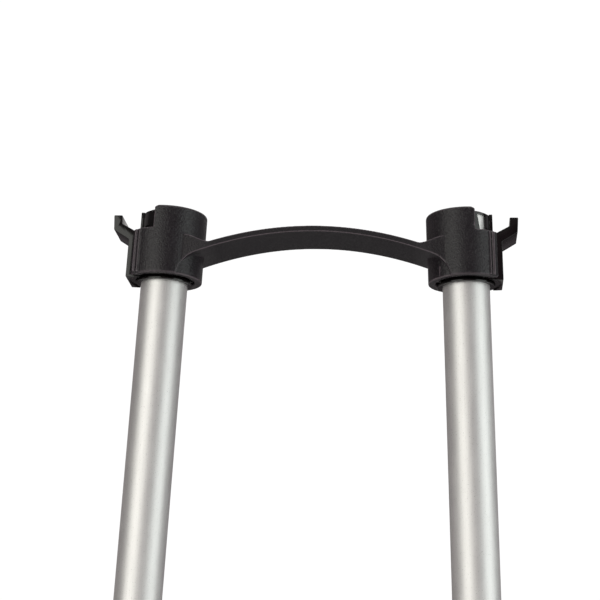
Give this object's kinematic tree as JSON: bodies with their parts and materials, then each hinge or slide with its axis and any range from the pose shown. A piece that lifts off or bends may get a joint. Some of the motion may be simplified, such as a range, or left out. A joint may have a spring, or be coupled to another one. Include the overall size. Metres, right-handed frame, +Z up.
{
  "type": "folding stretcher end frame",
  "caption": "Fold-down end frame of a folding stretcher: splayed aluminium tubes under a black moulded yoke with side latches, hinged with clamp knobs to an end rail.",
  "frame": {"origin": "middle of the end rail's underside, the bottom centre of the bounding box", "axes": "+X across the frame from the left tube to the right, +Y the way the frame folds down, +Z up along the standing frame"},
  "size_m": [0.3466, 0.06, 0.6487],
  "materials": {
    "matte_black_moulding": "fine spark-eroded texture with a faint speckle",
    "gloss_black_moulding": "polished black moulding",
    "satin_aluminium": "satin anodised drawn tube",
    "rail_aluminium": "satin anodised extrusion, brushed along its length",
    "zinc_steel": "bright zinc plated",
    "powder_coat": "black satin powder coat",
    "brass": "machined",
    "natural_nylon": "natural nylon, as moulded"
  },
  "bodies": {
    "base": {"end_rail": "rail_aluminium", "bracket_screw_1": "zinc_steel", "bracket_screw_2": "zinc_steel", "bracket_screw_3": "zinc_steel", "bracket_screw_4": "zinc_steel", "bracket_screw_5": "zinc_steel", "bracket_screw_6": "zinc_steel", "bracket_screw_7": "zinc_steel", "bracket_screw_8": "zinc_steel", "rail_cap_left": "matte_black_moulding", "hinge_bracket_left": "powder_coat", "stop_pin_left": "zinc_steel", "clamp_bolt_left": "zinc_steel", "clamp_washer_left": "zinc_steel", "friction_disc_left_inner": "natural_nylon", "friction_disc_left_outer": "natural_nylon", "rail_cap_right": "matte_black_moulding", "hinge_bracket_right": "powder_coat", "stop_pin_right": "zinc_steel", "clamp_bolt_right": "zinc_steel", "clamp_washer_right": "zinc_steel", "friction_disc_right_inner": "natural_nylon", "friction_disc_right_outer": "natural_nylon"},
    "frame": {"yoke": "matte_black_moulding", "tube_left": "satin_aluminium", "tube_plug_left": "gloss_black_moulding", "liner_bush_left": "gloss_black_moulding", "latch_pin_left_front": "zinc_steel", "latch_pin_left_back": "zinc_steel", "latch_spring_left": "zinc_steel", "lower_socket_left": "matte_black_moulding", "socket_bolt_left": "zinc_steel", "socket_nut_left": "zinc_steel", "hinge_bush_left": "natural_nylon", "tube_right": "satin_aluminium", "tube_plug_right": "gloss_black_moulding", "liner_bush_right": "gloss_black_moulding", "latch_pin_right_front": "zinc_steel", "latch_pin_right_back": "zinc_steel", "latch_spring_right": "zinc_steel", "lower_socket_right": "matte_black_moulding", "socket_bolt_right": "zinc_steel", "socket_nut_right": "zinc_steel", "hinge_bush_right": "natural_nylon"},
    "latch_left": {"latch_left": "gloss_black_moulding"},
    "latch_right": {"latch_right": "gloss_black_moulding"},
    "knob_left": {"clamp_knob_left": "matte_black_moulding", "knob_insert_left": "brass"},
    "knob_right": {"clamp_knob_right": "matte_black_moulding", "knob_insert_right": "brass"}
  },
  "joints": [
    {"name": "frame_fold", "type": "hinge", "parent": "base", "child": "frame", "pos_m": [0, 0, 0.062], "axis": [1, 0, 0], "range_deg": [-90, 0]},
    {"name": "latch_press_left", "type": "hinge", "parent": "frame", "child": "latch_left", "pos_m": [-0.11884, 0, 0.62261], "axis": [0, 1, 0], "range_deg": [0, 10], "stiffness_Nm_per_rad": 0.5, "springref_deg": -5.73, "deforming": ["latch_spring_left"]},
    {"name": "latch_press_right", "type": "hinge", "parent": "frame", "child": "latch_right", "pos_m": [0.11884, 0, 0.62261], "axis": [0, 1, 0], "range_deg": [-10, 0], "stiffness_Nm_per_rad": 0.5, "springref_deg": 5.73, "deforming": ["latch_spring_right"]},
    {"name": "clamp_turn_left", "type": "hinge", "parent": "base", "child": "knob_left", "pos_m": [-0.12318, 0, 0.062], "axis": [-1, 0, 0], "range_deg": [0, 180]},
    {"name": "clamp_turn_right", "type": "hinge", "parent": "base", "child": "knob_right", "pos_m": [0.12318, 0, 0.062], "axis": [1, 0, 0], "range_deg": [0, 180]}
  ]
}
